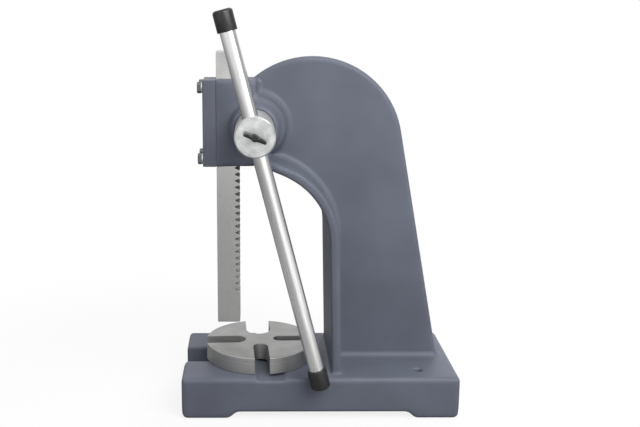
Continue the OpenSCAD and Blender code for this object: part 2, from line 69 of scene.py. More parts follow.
Colour = tuple[float, float, float, float]
Range = tuple[float, float]
Tree = bpy.types.NodeTree
Node = bpy.types.Node
Socket = bpy.types.NodeSocket

# A mask's whole range, and the ranges that hold most of one noise and of two noises added
FULL: Range = (0.0, 1.0)
ONE_NOISE: Range = (0.3, 0.7)
TWO_NOISES: Range = (0.7, 1.3)


class Lay(Enum):
    """The way that a tool's marks run on a machined piece."""

    ALONG_X = (0.02, 1.0, 1.0)
    ALONG_Z = (1.0, 1.0, 0.02)


class Part(Enum):
    """What an edit-mode selection picks."""

    EDGES = "edges"
    FACES = "faces"


@dataclass(frozen=True)
class Bump:
    """How strongly a pattern shows as relief, and how deep it is."""

    strength: float
    depth_mm: float


def linear(code: str) -> Colour:
    """Turn an sRGB hex colour into the linear colour that a shader socket takes.

    Args:
        code: The colour as #rrggbb.

    Returns:
        Red, green, blue and an alpha of 1.
    """
    values = [int(code[i:i + 2], 16) / 255 for i in (1, 3, 5)]
    return (*(v / 12.92 if v <= 0.04045 else ((v + 0.055) / 1.055) ** 2.4 for v in values), 1.0)


def held(value: float) -> float:
    """Hold a value between 0 and 1.

    Args:
        value: Any number.

    Returns:
        The number, or the nearer of 0 and 1.
    """
    return min(1.0, max(0.0, value))


def per(size_mm: float) -> float:
    """Give the texture scale at which one feature of a pattern has a given width.

    Args:
        size_mm: The feature's width.

    Returns:
        The scale, per metre.
    """
    return 1000 / size_mm


def add(tree: Tree, kind: str, inputs: dict | None = None, **settings) -> Node:
    """Add one shader node, with its settings and with each input set or linked.

    Args:
        tree: The node tree to add to.
        kind: The node's type name.
        inputs: Values or output sockets, by the input's name or number.
        settings: The node's own properties.

    Returns:
        The new node.
    """
    node = tree.nodes.new(kind)
    for key, value in settings.items():
        setattr(node, key, value)
    for key, value in (inputs or {}).items():
        if isinstance(value, Socket):
            tree.links.new(value, node.inputs[key])
        else:
            node.inputs[key].default_value = value
    return node


def calc(tree: Tree, operation: str, *values: Socket | float) -> Socket:
    """Work out one number from others.

    Args:
        tree: The node tree to add to.
        operation: The math node's operation.
        values: Numbers or sockets, in the node's order.

    Returns:
        The result's socket.
    """
    return add(tree, "ShaderNodeMath", dict(enumerate(values)), operation=operation).outputs[0]


def span(tree: Tree, value: Socket, source: Range, target: Range, easing: str = "LINEAR") -> Socket:
    """Map a value from one range to another and hold it there.

    Args:
        tree: The node tree to add to.
        value: The value to map.
        source: The range that comes in.
        target: The range that goes out.
        easing: The node's interpolation, LINEAR or SMOOTHSTEP.

    Returns:
        The mapped value's socket.
    """
    inputs = {"Value": value, 1: source[0], 2: source[1], 3: target[0], 4: target[1]}
    return add(tree, "ShaderNodeMapRange", inputs, interpolation_type=easing).outputs["Result"]


def blend(tree: Tree, mask: Socket, low: Socket | float, high: Socket | float) -> Socket:
    """Mix two values by a mask.

    Args:
        tree: The node tree to add to.
        mask: A value from 0 to 1.
        low: The value where the mask is 0.
        high: The value where the mask is 1.

    Returns:
        The mixed value's socket.
    """
    return add(tree, "ShaderNodeMix", {0: mask, 2: low, 3: high}, data_type="FLOAT").outputs[0]


def tint(tree: Tree, mask: Socket, low: Socket | str, high: str) -> Socket:
    """Mix two colours by a mask.

    Args:
        tree: The node tree to add to.
        mask: A value from 0 to 1.
        low: The colour where the mask is 0, as #rrggbb or a socket.
        high: The colour where the mask is 1, as #rrggbb.

    Returns:
        The mixed colour's socket.
    """
    start = linear(low) if isinstance(low, str) else low
    return add(tree, "ShaderNodeMix", {0: mask, 6: start, 7: linear(high)}, data_type="RGBA").outputs[2]


def noise(tree: Tree, place: Socket, size_mm: float, layers: float, harshness: float = 0.5) -> Socket:
    """Add a cloudy noise.

    Args:
        tree: The node tree to add to.
        place: Where the noise is taken, in metres.
        size_mm: The width of one cloud.
        layers: How many finer layers it has.
        harshness: How strong each finer layer is.

    Returns:
        The noise's socket, whose values lie round 0.5.
    """
    inputs = {"Vector": place, "Scale": per(size_mm), "Detail": layers, "Roughness": harshness}
    return add(tree, "ShaderNodeTexNoise", inputs).outputs["Fac"]


def linked(shader: Node, name: str) -> Socket:
    """Give the socket that feeds one of a shader's inputs.

    Args:
        shader: The shader node.
        name: The input's name.

    Returns:
        The socket at the other end of the input's link.
    """
    return shader.inputs[name].links[0].from_socket


def link_colour(tree: Tree, shader: Node, mask: Socket, low: Socket | str, high: str) -> None:
    """Link a mix of two colours to the shader.

    Args:
        tree: The material's node tree.
        shader: Its Principled BSDF.
        mask: A value from 0 to 1.
        low: The colour where the mask is 0, as #rrggbb or a socket.
        high: The colour where the mask is 1, as #rrggbb.
    """
    tree.links.new(tint(tree, mask, low, high), shader.inputs["Base Color"])


def link_bump(tree: Tree, shader: Node, height: Socket, bump: Bump) -> None:
    """Link a pattern to the shader as relief, on top of any relief that it has.

    Args:
        tree: The material's node tree.
        shader: Its Principled BSDF.
        height: The pattern's value.
        bump: Its strength and depth.
    """
    inputs = {"Height": height, "Strength": bump.strength, "Distance": bump.depth_mm * MM}
    if shader.inputs["Normal"].is_linked:
        inputs["Normal"] = linked(shader, "Normal")
    tree.links.new(add(tree, "ShaderNodeBump", inputs).outputs["Normal"], shader.inputs["Normal"])


@dataclass(frozen=True)
class Finish:
    """What every finish has: the material's name, its main colour and its gloss."""

    name: str
    colour: str
    roughness: float
    metallic: float = 0.0

    def material(self) -> bpy.types.Material:
        """Build the material, or give the one that was built before.

        Returns:
            The material of this finish.
        """
        known = bpy.data.materials.get(self.name)
        if known:
            return known
        made = bpy.data.materials.new(self.name)
        made.use_nodes = True
        tree = made.node_tree
        shader = tree.nodes["Principled BSDF"]
        shader.inputs["Metallic"].default_value = self.metallic
        place = add(tree, "ShaderNodeTexCoord").outputs["Object"]
        self.dress(tree, shader, place)
        return made

    def dress(self, tree: Tree, shader: Node, place: Socket) -> None:
        """Link this finish's patterns to the shader.

        Args:
            tree: The material's node tree.
            shader: Its Principled BSDF.
            place: Object coordinates, in metres.
        """
        raise NotImplementedError

    def link_gloss(self, tree: Tree, shader: Node, pattern: Socket, source: Range, swing: Range) -> None:
        """Let a pattern make the finish duller or glossier.

        Args:
            tree: The material's node tree.
            shader: Its Principled BSDF.
            pattern: The pattern's value.
            source: The range of the pattern that counts.
            swing: What the roughness gains at both ends of that range.
        """
        target = (self.roughness + swing[0], self.roughness + swing[1])
        tree.links.new(span(tree, pattern, source, target), shader.inputs["Roughness"])


@dataclass(frozen=True)
class CastingEnamel(Finish):
    """Satin enamel sprayed on sand-cast iron: the sand's grain shows softly through an even coat."""

    shade_colour: str = "#5f636f"
    edge_highlight_colour: str = "#757986"
    sheen: float = 0.28
    grain_mm: float = 2.2
    swell_mm: float = 34.0
    cloud_mm: float = 120.0
    cloud_range: Range = (0.35, 0.65)
    # A painted highlight lightens the colour where the surface is this pointed
    edge_highlight_range: Range = (0.51, 0.58)
    edge_highlight_share: float = 0.55
    gloss_swing: Range = (-0.05, 0.07)
    swell_bump: Bump = Bump(0.35, 0.7)
    grain_bump: Bump = Bump(0.22, 0.22)

    def dress(self, tree: Tree, shader: Node, place: Socket) -> None:
        """Link cloudy tone, a painted highlight on pointed edges, grain and slow swells to the shader."""
        shader.inputs["Specular IOR Level"].default_value = self.sheen
        tone = span(tree, noise(tree, place, self.cloud_mm, 3.0), self.cloud_range, FULL)
        body = tint(tree, tone, self.shade_colour, self.colour)
        # Painted highlight: pointed edges are mixed towards a lighter colour
        point = add(tree, "ShaderNodeNewGeometry").outputs["Pointiness"]
        edge = span(tree, point, self.edge_highlight_range, (0.0, self.edge_highlight_share))
        link_colour(tree, shader, edge, body, self.edge_highlight_colour)
        grain = noise(tree, place, self.grain_mm, 4.0, 0.55)
        self.link_gloss(tree, shader, grain, ONE_NOISE, self.gloss_swing)
        link_bump(tree, shader, noise(tree, place, self.swell_mm, 1.0), self.swell_bump)
        link_bump(tree, shader, grain, self.grain_bump)


@dataclass(frozen=True)
class GroundSteel(Finish):
    """Mild steel ground in straight strokes: long fine lines, with dull patches."""

    line_colour: str = "#8f8f8d"
    lay: Lay = Lay.ALONG_Z
    # Real grinding lines are about 0.1 mm apart; these are coarser, so that they show
    line_mm: float = 0.9
    patch_mm: float = 45.0
    tone_range: Range = (0.75, 1.25)
    gloss_swing: Range = (0.08, -0.06)
    line_bump: Bump = Bump(0.16, 0.05)

    def dress(self, tree: Tree, shader: Node, place: Socket) -> None:
        """Link strokes and dull patches to the colour, the gloss and the bump."""
        along = add(tree, "ShaderNodeMapping", {"Vector": place, "Scale": self.lay.value}).outputs["Vector"]
        lines = noise(tree, along, self.line_mm, 3.0)
        both = calc(tree, "ADD", lines, noise(tree, place, self.patch_mm, 3.0))
        tone = span(tree, both, self.tone_range, FULL)
        link_colour(tree, shader, tone, self.line_colour, self.colour)
        self.link_gloss(tree, shader, both, TWO_NOISES, self.gloss_swing)
        link_bump(tree, shader, lines, self.line_bump)


@dataclass(frozen=True)
class ShadedRack(GroundSteel):
    """A ground bar with painted shade among its milled teeth, between its two sides, weaker towards the nose.
    """

    shade_in_teeth_colour: str = "#2a2928"
    shade_in_teeth_roughness: float = 0.75
    # The painted shade among the teeth starts at this depth, stops short of both sides and grows weaker
    # towards the nose
    teeth_x: float = 0.0
    teeth_fade_mm: float = 1.5
    side_y: float = 0.0
    side_clear_mm: Range = (0.5, 0.2)
    side_share: Range = (0.9, 0.0)
    nose_fade_z: Range = (0.17, 0.36)
    nose_fade_share: Range = (0.5, 0.92)

    def dress(self, tree: Tree, shader: Node, place: Socket) -> None:
        """Link the ground bar's patterns, and paint shade among the teeth: dark, matt and not metallic."""
        super().dress(tree, shader, place)
        apart = add(tree, "ShaderNodeSeparateXYZ", {"Vector": place})
        depth = span(tree, apart.outputs["X"], (self.teeth_x, self.teeth_x + self.teeth_fade_mm * MM), FULL)
        width = calc(tree, "ABSOLUTE", apart.outputs["Y"])
        clear, unshaded = (self.side_y - gap * MM for gap in self.side_clear_mm)
        inside = span(tree, width, (clear, unshaded), self.side_share)
        shade_fade = span(tree, apart.outputs["Z"], self.nose_fade_z, self.nose_fade_share)
        # Painted shade in the tooth gaps, weaker towards the nose
        gap_shade = calc(tree, "MULTIPLY", calc(tree, "MULTIPLY", depth, inside), shade_fade)
        link_colour(tree, shader, gap_shade, linked(shader, "Base Color"), self.shade_in_teeth_colour)
        tree.links.new(calc(tree, "SUBTRACT", 1.0, gap_shade), shader.inputs["Metallic"])
        matt = blend(tree, gap_shade, linked(shader, "Roughness"), self.shade_in_teeth_roughness)
        tree.links.new(matt, shader.inputs["Roughness"])


@dataclass(frozen=True)
class TurnedSteel(Finish):
    """Steel turned on a lathe: fine rings round its axis on the face, and round the side as well."""

    line_colour: str = "#9d9d9b"
    centre: tuple[float, float, float] = (0.0, 0.0, 0.0)
    axis: str = "Y"
    # Real feed marks are about 0.2 mm apart; these are coarser, so that they show
    feed_mm: float = 1.3
    patch_mm: float = 30.0
    # The side starts at this radius, is duller than the face, and is darker by painted shade
    side_r: float = 1.0
    side_edge_mm: Range = (0.4, 0.2)
    side_share: Range = (1.0, 0.6)
    side_dullness: float = 0.24
    # Painted shade round the middle, from none at the larger radius to most at the smaller one
    centre_shade_r: Range = (-2.0, -1.0)
    centre_shade_share: Range = (0.45, 1.0)
    gloss_swing: Range = (0.07, -0.05)
    ring_bump: Bump = Bump(0.2, 0.05)

    def dress(self, tree: Tree, shader: Node, place: Socket) -> None:
        """Link the feed's rings, the painted shade on the side and round the middle, and dull patches to the
        colour, the gloss and the bump.
        """
        offset = tuple(-c for c in self.centre)
        local = add(tree, "ShaderNodeMapping", {"Vector": place, "Location": offset}).outputs["Vector"]
        flat = tuple(0.0 if name == self.axis else 1.0 for name in "XYZ")
        plane = add(tree, "ShaderNodeVectorMath", {0: local, 1: flat}, operation="MULTIPLY")
        outward = {0: plane.outputs["Vector"]}
        radius = add(tree, "ShaderNodeVectorMath", outward, operation="LENGTH").outputs["Value"]
        height = add(tree, "ShaderNodeSeparateXYZ", {"Vector": local}).outputs[self.axis]
        feed = {"W": calc(tree, "ADD", radius, height), "Scale": per(self.feed_mm), "Detail": 2.0}
        rings = add(tree, "ShaderNodeTexNoise", feed, noise_dimensions="1D").outputs["Fac"]
        both = calc(tree, "ADD", rings, noise(tree, place, self.patch_mm, 3.0))
        face_end, side_start = (self.side_r - gap * MM for gap in self.side_edge_mm)
        # Painted shade: the side is darker than the face
        side_shade = span(tree, radius, (face_end, side_start), self.side_share)
        # Painted shade round the middle, where the wing screw stands on the hub
        shade_fade = span(tree, radius, self.centre_shade_r, self.centre_shade_share)
        unshaded = calc(tree, "MULTIPLY", side_shade, shade_fade)
        tone = calc(tree, "MULTIPLY", span(tree, both, TWO_NOISES, FULL), unshaded)
        link_colour(tree, shader, tone, self.line_colour, self.colour)
        self.link_gloss(tree, shader, both, TWO_NOISES, self.gloss_swing)
        dull = span(tree, radius, (face_end, side_start), (0.0, self.side_dullness))
        rough = calc(tree, "ADD", linked(shader, "Roughness"), dull)
        tree.links.new(rough, shader.inputs["Roughness"])
        link_bump(tree, shader, rings, self.ring_bump)


@dataclass(frozen=True)
class BrightBar(Finish):
    """Bright drawn bar, polished lengthwise: near mirror, with hairline draw marks along it."""

    line_colour: str = "#aeaeac"
    lean_deg: float = 0.0
    line_mm: float = 0.7
    line_range: Range = (0.3, 0.6)
    gloss_swing: Range = (0.05, -0.04)
    line_bump: Bump = Bump(0.1, 0.03)

    def dress(self, tree: Tree, shader: Node, place: Socket) -> None:
        """Link the draw marks, stretched along the leaning bar, to the colour, the gloss and the bump."""
        turn = (0.0, math.radians(self.lean_deg), 0.0)
        upright = add(tree, "ShaderNodeMapping", {"Vector": place, "Rotation": turn}).outputs["Vector"]
        drawn = {"Vector": upright, "Scale": Lay.ALONG_Z.value}
        lines = noise(tree, add(tree, "ShaderNodeMapping", drawn).outputs["Vector"], self.line_mm, 3.0)
        tone = span(tree, lines, self.line_range, FULL)
        link_colour(tree, shader, tone, self.line_colour, self.colour)
        self.link_gloss(tree, shader, lines, ONE_NOISE, self.gloss_swing)
        link_bump(tree, shader, lines, self.line_bump)


@dataclass(frozen=True)
class BlackSkin(Finish):
    """A black skin, such as oxide on steel or moulded rubber: dark, faintly mottled, with a matt grain."""

    worn_colour: str = "#4a4a4b"
    grain_mm: float = 0.8
    mottle_mm: float = 7.0
    # Edges this pointed are rubbed, and this much of the mottling is worn
    rubbed_range: Range = (0.53, 0.68)
    rubbed_share: float = 0.5
    mottle_range: Range = (0.45, 0.75)
    mottle_share: float = 0.4
    gloss_swing: Range = (0.08, -0.08)
    grain_bump: Bump = Bump(0.3, 0.06)

    def dress(self, tree: Tree, shader: Node, place: Socket) -> None:
        """Link mottling, rubbed edges and grain to the colour, the gloss and the bump."""
        mottle = noise(tree, place, self.mottle_mm, 4.0)
        point = add(tree, "ShaderNodeNewGeometry").outputs["Pointiness"]
        rubbed = span(tree, point, self.rubbed_range, (0.0, self.rubbed_share))
        patch = span(tree, mottle, self.mottle_range, (0.0, self.mottle_share))
        worn = calc(tree, "ADD", rubbed, patch)
        link_colour(tree, shader, worn, self.colour, self.worn_colour)
        self.link_gloss(tree, shader, mottle, ONE_NOISE, self.gloss_swing)
        link_bump(tree, shader, noise(tree, place, self.grain_mm, 3.0), self.grain_bump)


def joint(name: str) -> dict:
    """Find one of the frame's joints.

    Args:
        name: The joint's name.

    Returns:
        What the frame says of it.
    """
    return next(j for j in frame["joints"] if j["name"] == name)


PINION_AXIS = Vector(joint("pinion_turn")["pos_m"])
LEVER_AXIS = Vector(joint("lever_slide")["axis"]).normalized()
LEVER_LEAN_DEG = math.degrees(math.atan2(-LEVER_AXIS.x, LEVER_AXIS.z))
TABLE_AXIS = Vector(joint("table_turn")["pos_m"])

# The painted shade among the rack's teeth starts this far in from the ram's back
SHADE_IN_TEETH_DEPTH = 9 * MM
RAM_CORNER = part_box("ram")[1]
HUB_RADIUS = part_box("pinion_shaft")[1].z - PINION_AXIS.z

CASTING = CastingEnamel("satin_enamel_on_cast_iron", "#676c79", 0.46)
RAM_STEEL = ShadedRack("ground_mild_steel_ram", "#cccccb", 0.22, 1.0, line_colour="#bdbdbc",
                      teeth_x=RAM_CORNER.x - SHADE_IN_TEETH_DEPTH, side_y=RAM_CORNER.y)
HUB_STEEL = TurnedSteel("turned_steel_hub", "#f0f1f1", 0.3, 1.0, line_colour="#adaeaf",
                        centre=tuple(PINION_AXIS), patch_mm=15.0, side_r=HUB_RADIUS,
                        centre_shade_r=(7 * MM, 22 * MM))
TABLE_STEEL = TurnedSteel("faced_steel_table", "#b0b0af", 0.52, 1.0, line_colour="#9f9f9e",
                          centre=tuple(TABLE_AXIS), axis="Z", feed_mm=1.6)
LEVER_STEEL = BrightBar("bright_drawn_bar", "#eaeaea", 0.24, 1.0, line_colour="#d4d4d3",
                        lean_deg=LEVER_LEAN_DEG)
ZINC = GroundSteel("bright_zinc_plate", "#d6d6d8", 0.25, 1.0, line_colour="#b5b5b8", line_mm=0.5)
BOLT_ZINC = GroundSteel("dull_zinc_plate", "#7e7e81", 0.34, 1.0, line_colour="#67676a", lay=Lay.ALONG_X,
                        line_mm=0.6, patch_mm=12.0)
BLACK_OXIDE = BlackSkin("black_oxide_steel", "#303031", 0.4, 0.7, worn_colour="#565657")
RUBBER = BlackSkin("moulded_black_rubber", "#1c1c1c", 0.36, worn_colour="#2a2a2a", grain_mm=0.6,
                   mottle_mm=9.0, grain_bump=Bump(0.3, 0.04))


def focus(piece: bpy.types.Object) -> None:
    """Make one object the only selected one and the active one.

    Args:
        piece: The object.
    """
    bpy.ops.object.select_all(action="DESELECT")
    piece.select_set(True)
    bpy.context.view_layer.objects.active = piece


def adopt(name: str) -> bpy.types.Object:
    """Name the object that an operator just made.

    Args:
        name: The piece's name, which its mesh takes too.

    Returns:
        The active object.
    """
    piece = bpy.context.view_layer.objects.active
    piece.name = name
    piece.data.name = name
    return piece


def settle(piece: bpy.types.Object) -> None:
    """Move an object's place, turn and size into its mesh.

    Args:
        piece: The object.
    """
    focus(piece)
    bpy.ops.object.transform_apply(location=True, rotation=True, scale=True)


def pick(piece: bpy.types.Object, part: Part, test: Callable[[Vector], bool]) -> None:
    """Select, in edit mode, the edges or faces whose centres pass a test, and nothing else.

    Args:
        piece: The object in edit mode.
        part: Whether edges or faces are picked.
        test: Says yes to a centre.
    """
    bpy.ops.mesh.select_mode(type="EDGE" if part is Part.EDGES else "FACE")
    bpy.ops.mesh.select_all(action="DESELECT")
    mesh = bmesh.from_edit_mesh(piece.data)
    if part is Part.EDGES:
        for edge in mesh.edges:
            edge.select_set(test((edge.verts[0].co + edge.verts[1].co) / 2))
    else:
        for face in mesh.faces:
            face.select_set(test(face.calc_center_median()))
    bmesh.update_edit_mesh(piece.data)


def finish_with(piece: bpy.types.Object, kind: str, **settings) -> None:
    """Add a modifier with these settings and apply it.

    Args:
        piece: The object to change.
        kind: The modifier's type name.
        settings: The modifier's properties.
    """
    focus(piece)
    bpy.ops.object.modifier_add(type=kind)
    modifier = piece.modifiers[-1]
    for key, value in settings.items():
        setattr(modifier, key, value)
    bpy.ops.object.modifier_apply(modifier=modifier.name)


def copy_of(node: str, name: str) -> bpy.types.Object:
    """Copy a CAD node's mesh into a new piece, with its loose triangles merged.

    Args:
        node: The CAD node's name.
        name: The new piece's name.

    Returns:
        The new piece.
    """
    source = frame["nodes"][node]
    piece = bpy.data.objects.new(name, source.data.copy())
    piece.data.name = name
    bpy.context.scene.collection.objects.link(piece)
    focus(piece)
    bpy.ops.object.mode_set(mode="EDIT")
    bpy.ops.mesh.select_all(action="SELECT")
    bpy.ops.mesh.customdata_custom_splitnormals_clear()
    bpy.ops.mesh.remove_doubles(threshold=MERGED)
    bpy.ops.object.mode_set(mode="OBJECT")
    return piece


def machined_copy(node: str, name: str) -> bpy.types.Object:
    """Copy a machined CAD node and join the triangles of each of its flats.

    Args:
        node: The CAD node's name.
        name: The new piece's name.

    Returns:
        The new piece.
    """
    piece = copy_of(node, name)
    bpy.ops.object.mode_set(mode="EDIT")
    bpy.ops.mesh.select_all(action="SELECT")
    bpy.ops.mesh.dissolve_limited(angle_limit=math.radians(FLAT_DEG))
    bpy.ops.object.mode_set(mode="OBJECT")
    return piece


def shade_machined(piece: bpy.types.Object) -> None:
    """Shade a machined piece so that its rounds are smooth and its flats stay flat.

    Args:
        piece: The machined piece.
    """
    focus(piece)
    bpy.ops.object.shade_smooth_by_angle(angle=math.radians(SHARP_DEG))
    finish_with(piece, "WEIGHTED_NORMAL", weight=80, keep_sharp=True)


def eased_copy(node: str, name: str, ease_mm: float) -> bpy.types.Object:
    """Copy a machined CAD node and break its sharp edges, as a file or a tumbler does.

    Args:
        node: The CAD node's name.
        name: The new piece's name.
        ease_mm: The width of the broken edge, or 0 to keep the CAD's own edges.

    Returns:
        The new piece.
    """
    piece = machined_copy(node, name)
    if ease_mm:
        finish_with(piece, "BEVEL", width=ease_mm * MM, segments=2, limit_method="ANGLE",
                    angle_limit=math.radians(BROKEN_DEG), harden_normals=False)
    shade_machined(piece)
    return piece


def hand_over(piece: bpy.types.Object, body: str, finish: Finish, nodes: Sequence[str]) -> None:
    """Dress a new piece and give it to the frame in place of its CAD nodes.

    Args:
        piece: The new piece.
        body: The body that it moves with.
        finish: Its finish.
        nodes: The CAD nodes that it stands for.
    """
    piece.data.materials.clear()
    piece.data.materials.append(finish.material())
    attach(piece, body)
    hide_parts(*nodes)
    LOG.info("%s rides on %s in %s, %d faces", piece.name, body, finish.name, len(piece.data.polygons))


def dress_node(node: str, finish: Finish) -> None:
    """Give a CAD node that keeps its shape its finish.

    Args:
        node: The CAD node's name.
        finish: Its finish.
    """
    mesh = frame["nodes"][node].data
    mesh.materials.clear()
    mesh.materials.append(finish.material())
    LOG.info("%s keeps its CAD shape in %s", node, finish.name)


def reach(node: str, origin: Vector, axis: Vector) -> tuple[float, float, float]:
    """Measure a round CAD node along an axis.

    Args:
        node: The CAD node's name.
        origin: A point on the axis.
        axis: The axis's direction, of length 1.

    Returns:
        Its lowest and highest place along the axis from the origin, and its largest radius.
    """
    steps = [v.co - origin for v in frame["nodes"][node].data.vertices]
    places = [s.dot(axis) for s in steps]
    radius = max((s - axis * p).length for s, p in zip(steps, places))
    return min(places), max(places), radius


def rod(name: str, start: Vector, end: Vector, radius: float, sides: int) -> bpy.types.Object:
    """Add a cylinder between two points and move its place into its mesh.

    Args:
        name: The piece's name.
        start: The middle of one end.
        end: The middle of the other end.
        radius: The cylinder's radius.
        sides: How many sides it has.

    Returns:
        The cylinder.
    """
    line = end - start
    turn = line.to_track_quat("Z", "Y").to_euler()
    bpy.ops.object.select_all(action="DESELECT")
    bpy.ops.mesh.primitive_cylinder_add(vertices=sides, radius=radius, depth=line.length,
                                        location=(start + end) / 2, rotation=turn)
    piece = adopt(name)
    settle(piece)
    return piece


@dataclass
class Casting:
    """The frame casting, with the softly blended corners and edges that a sand mould leaves."""

    voxel_mm: float = 2.3
    smooth_passes: int = 5
    boss_passes: int = 80
    foot_passes: int = 24
    boss_reach_mm: tuple[float, float] = (56.0, 92.0)
    bore_keep_mm: float = 34.5
    boss_side_y: float = -0.02
    foot_height_mm: float = 20.0
    seam_keep_mm: float = 5.0
    seam_fade_mm: float = 14.0
    most_triangles: int = 190_000
    seam_x: float = 0.0
    seam_z: float = 0.0

    def __post_init__(self) -> None:
        """Find the machined seam from the CAD plate that lies on it."""
        low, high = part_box("front_plate")
        self.seam_x = high.x
        self.seam_z = low.z - self.seam_keep_mm * MM

    def build(self) -> None:
        """Melt the CAD solid's corners together, thin the mesh and hand the casting over."""
        piece = copy_of("frame_casting", "press_frame_casting")
        finish_with(piece, "REMESH", mode="VOXEL", voxel_size=self.voxel_mm * MM, adaptivity=0.0)
        self.soften(piece, "cast_skin", self.skin_weight, self.smooth_passes)
        self.soften(piece, "boss_blend", self.boss_weight, self.boss_passes)
        self.soften(piece, "foot_blend", self.foot_weight, self.foot_passes)
        finish_with(piece, "TRIANGULATE")
        share = self.most_triangles / len(piece.data.polygons)
        if share < 1:
            finish_with(piece, "DECIMATE", ratio=share)
        focus(piece)
        bpy.ops.object.shade_smooth()
        hand_over(piece, "frame", CASTING, ["frame_casting"])

    def soften(self, piece: bpy.types.Object, name: str, weight: Callable[[Vector], float],
               passes: int) -> None:
        """Smooth the casting where a weight asks for it.

        Args:
            piece: The casting.
            name: The vertex group's name.
            weight: Gives 0 to 1 at a point.
            passes: How often it is smoothed.
        """
        group = piece.vertex_groups.new(name=name)
        steps: dict[float, list[int]] = {}
        for vertex in piece.data.vertices:
            steps.setdefault(round(weight(vertex.co), 1), []).append(vertex.index)
        for share, members in steps.items():
            group.add(members, share, "REPLACE")
        finish_with(piece, "SMOOTH", factor=0.5, iterations=passes, vertex_group=name)

    def skin_weight(self, point: Vector) -> float:
        """Keep the machined seam under the front plate crisp, and soften all the rest.

        Args:
            point: A point of the casting.

        Returns:
            How much it is smoothed, from 0 to 1.
        """
        return 1.0 if point.z < self.seam_z or point.x - self.seam_x > self.seam_keep_mm * MM else 0.0

    def boss_weight(self, point: Vector) -> float:
        """Blend the near boss into the head in one soft swelling, clear of its bore and of the seam.

        Args:
            point: A point of the casting.

        Returns:
            How much it is smoothed, from 0 to 1.
        """
        radius_mm = math.hypot(point.x - PINION_AXIS.x, point.z - PINION_AXIS.z) / MM
        if point.y > self.boss_side_y or radius_mm <= self.bore_keep_mm:
            return 0.0
        inner, outer = self.boss_reach_mm
        in_boss = (outer - radius_mm) / (outer - inner)
        off_seam = ((point.x - self.seam_x) / MM - self.seam_keep_mm) / self.seam_fade_mm
        return held(min(in_boss, off_seam))

    def foot_weight(self, point: Vector) -> float:
        """Round the slopes of the feet.

        Args:
            point: A point of the casting.

        Returns:
            How much it is smoothed, from 0 to 1.
        """
        return held(2 * (1 - point.z / MM / self.foot_height_mm))


@dataclass
class FrontPlate:
    """The plate that closes the ram's channel, with its bolts, washers and gib screws."""

    ease_mm: float = 1.2
    screw_ease_mm: float = 0.3
    bolt_count: int = 4

    def build(self) -> None:
        """Ease the plate, the washers and the gib screws, and hand them over with the bolts."""
        self.build_plate()
        for i in range(1, self.bolt_count + 1):
            bolt = eased_copy(f"plate_bolt_{i}", f"press_plate_bolt_{i}", 0)
            hand_over(bolt, "frame", BOLT_ZINC, [f"plate_bolt_{i}"])
            washer = eased_copy(f"plate_washer_{i}", f"press_plate_washer_{i}", self.screw_ease_mm)
            hand_over(washer, "frame", ZINC, [f"plate_washer_{i}"])
        for place in ("upper", "lower"):
            screw = eased_copy(f"gib_screw_{place}", f"press_gib_screw_{place}", self.screw_ease_mm)
            hand_over(screw, "frame", BLACK_OXIDE, [f"gib_screw_{place}"])

    def build_plate(self) -> None:
        """Round the plate's four corners that run from front to back, and hand it over."""
        low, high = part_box("front_plate")
        plate = machined_copy("front_plate", "press_front_plate")
        bpy.ops.object.mode_set(mode="EDIT")
        pick(plate, Part.EDGES, lambda c: all(min(c[i] - low[i], high[i] - c[i]) < MERGED for i in (1, 2)))
        bpy.ops.mesh.bevel(offset=self.ease_mm * MM, segments=3, affect="EDGES")
        bpy.ops.object.mode_set(mode="OBJECT")
        shade_machined(plate)
        hand_over(plate, "frame", CASTING, ["front_plate"])


@dataclass
class Ram:
    """The square rack bar."""

    ease_mm: float = 0.45

    def build(self) -> None:
        """Break the bar's and the teeth's edges and hand the ram over."""
        bar = eased_copy("ram", "press_ram", self.ease_mm)
        hand_over(bar, "ram", RAM_STEEL, ["ram"])


@dataclass
class PinionShaft:
    """The hub, the pinion and what keeps them in the head."""

    washer_ease_mm: float = 0.6

    def build(self) -> None:
        """Break the washer's edges and hand it over with the shaft and its bolt."""
        shaft = eased_copy("pinion_shaft", "press_pinion_shaft", 0)
        hand_over(shaft, "pinion", HUB_STEEL, ["pinion_shaft"])
        washer = eased_copy("keeper_washer", "press_keeper_washer", self.washer_ease_mm)
        hand_over(washer, "pinion", HUB_STEEL, ["keeper_washer"])
        bolt = eased_copy("keeper_bolt", "press_keeper_bolt", 0)
        hand_over(bolt, "pinion", BLACK_OXIDE, ["keeper_bolt"])


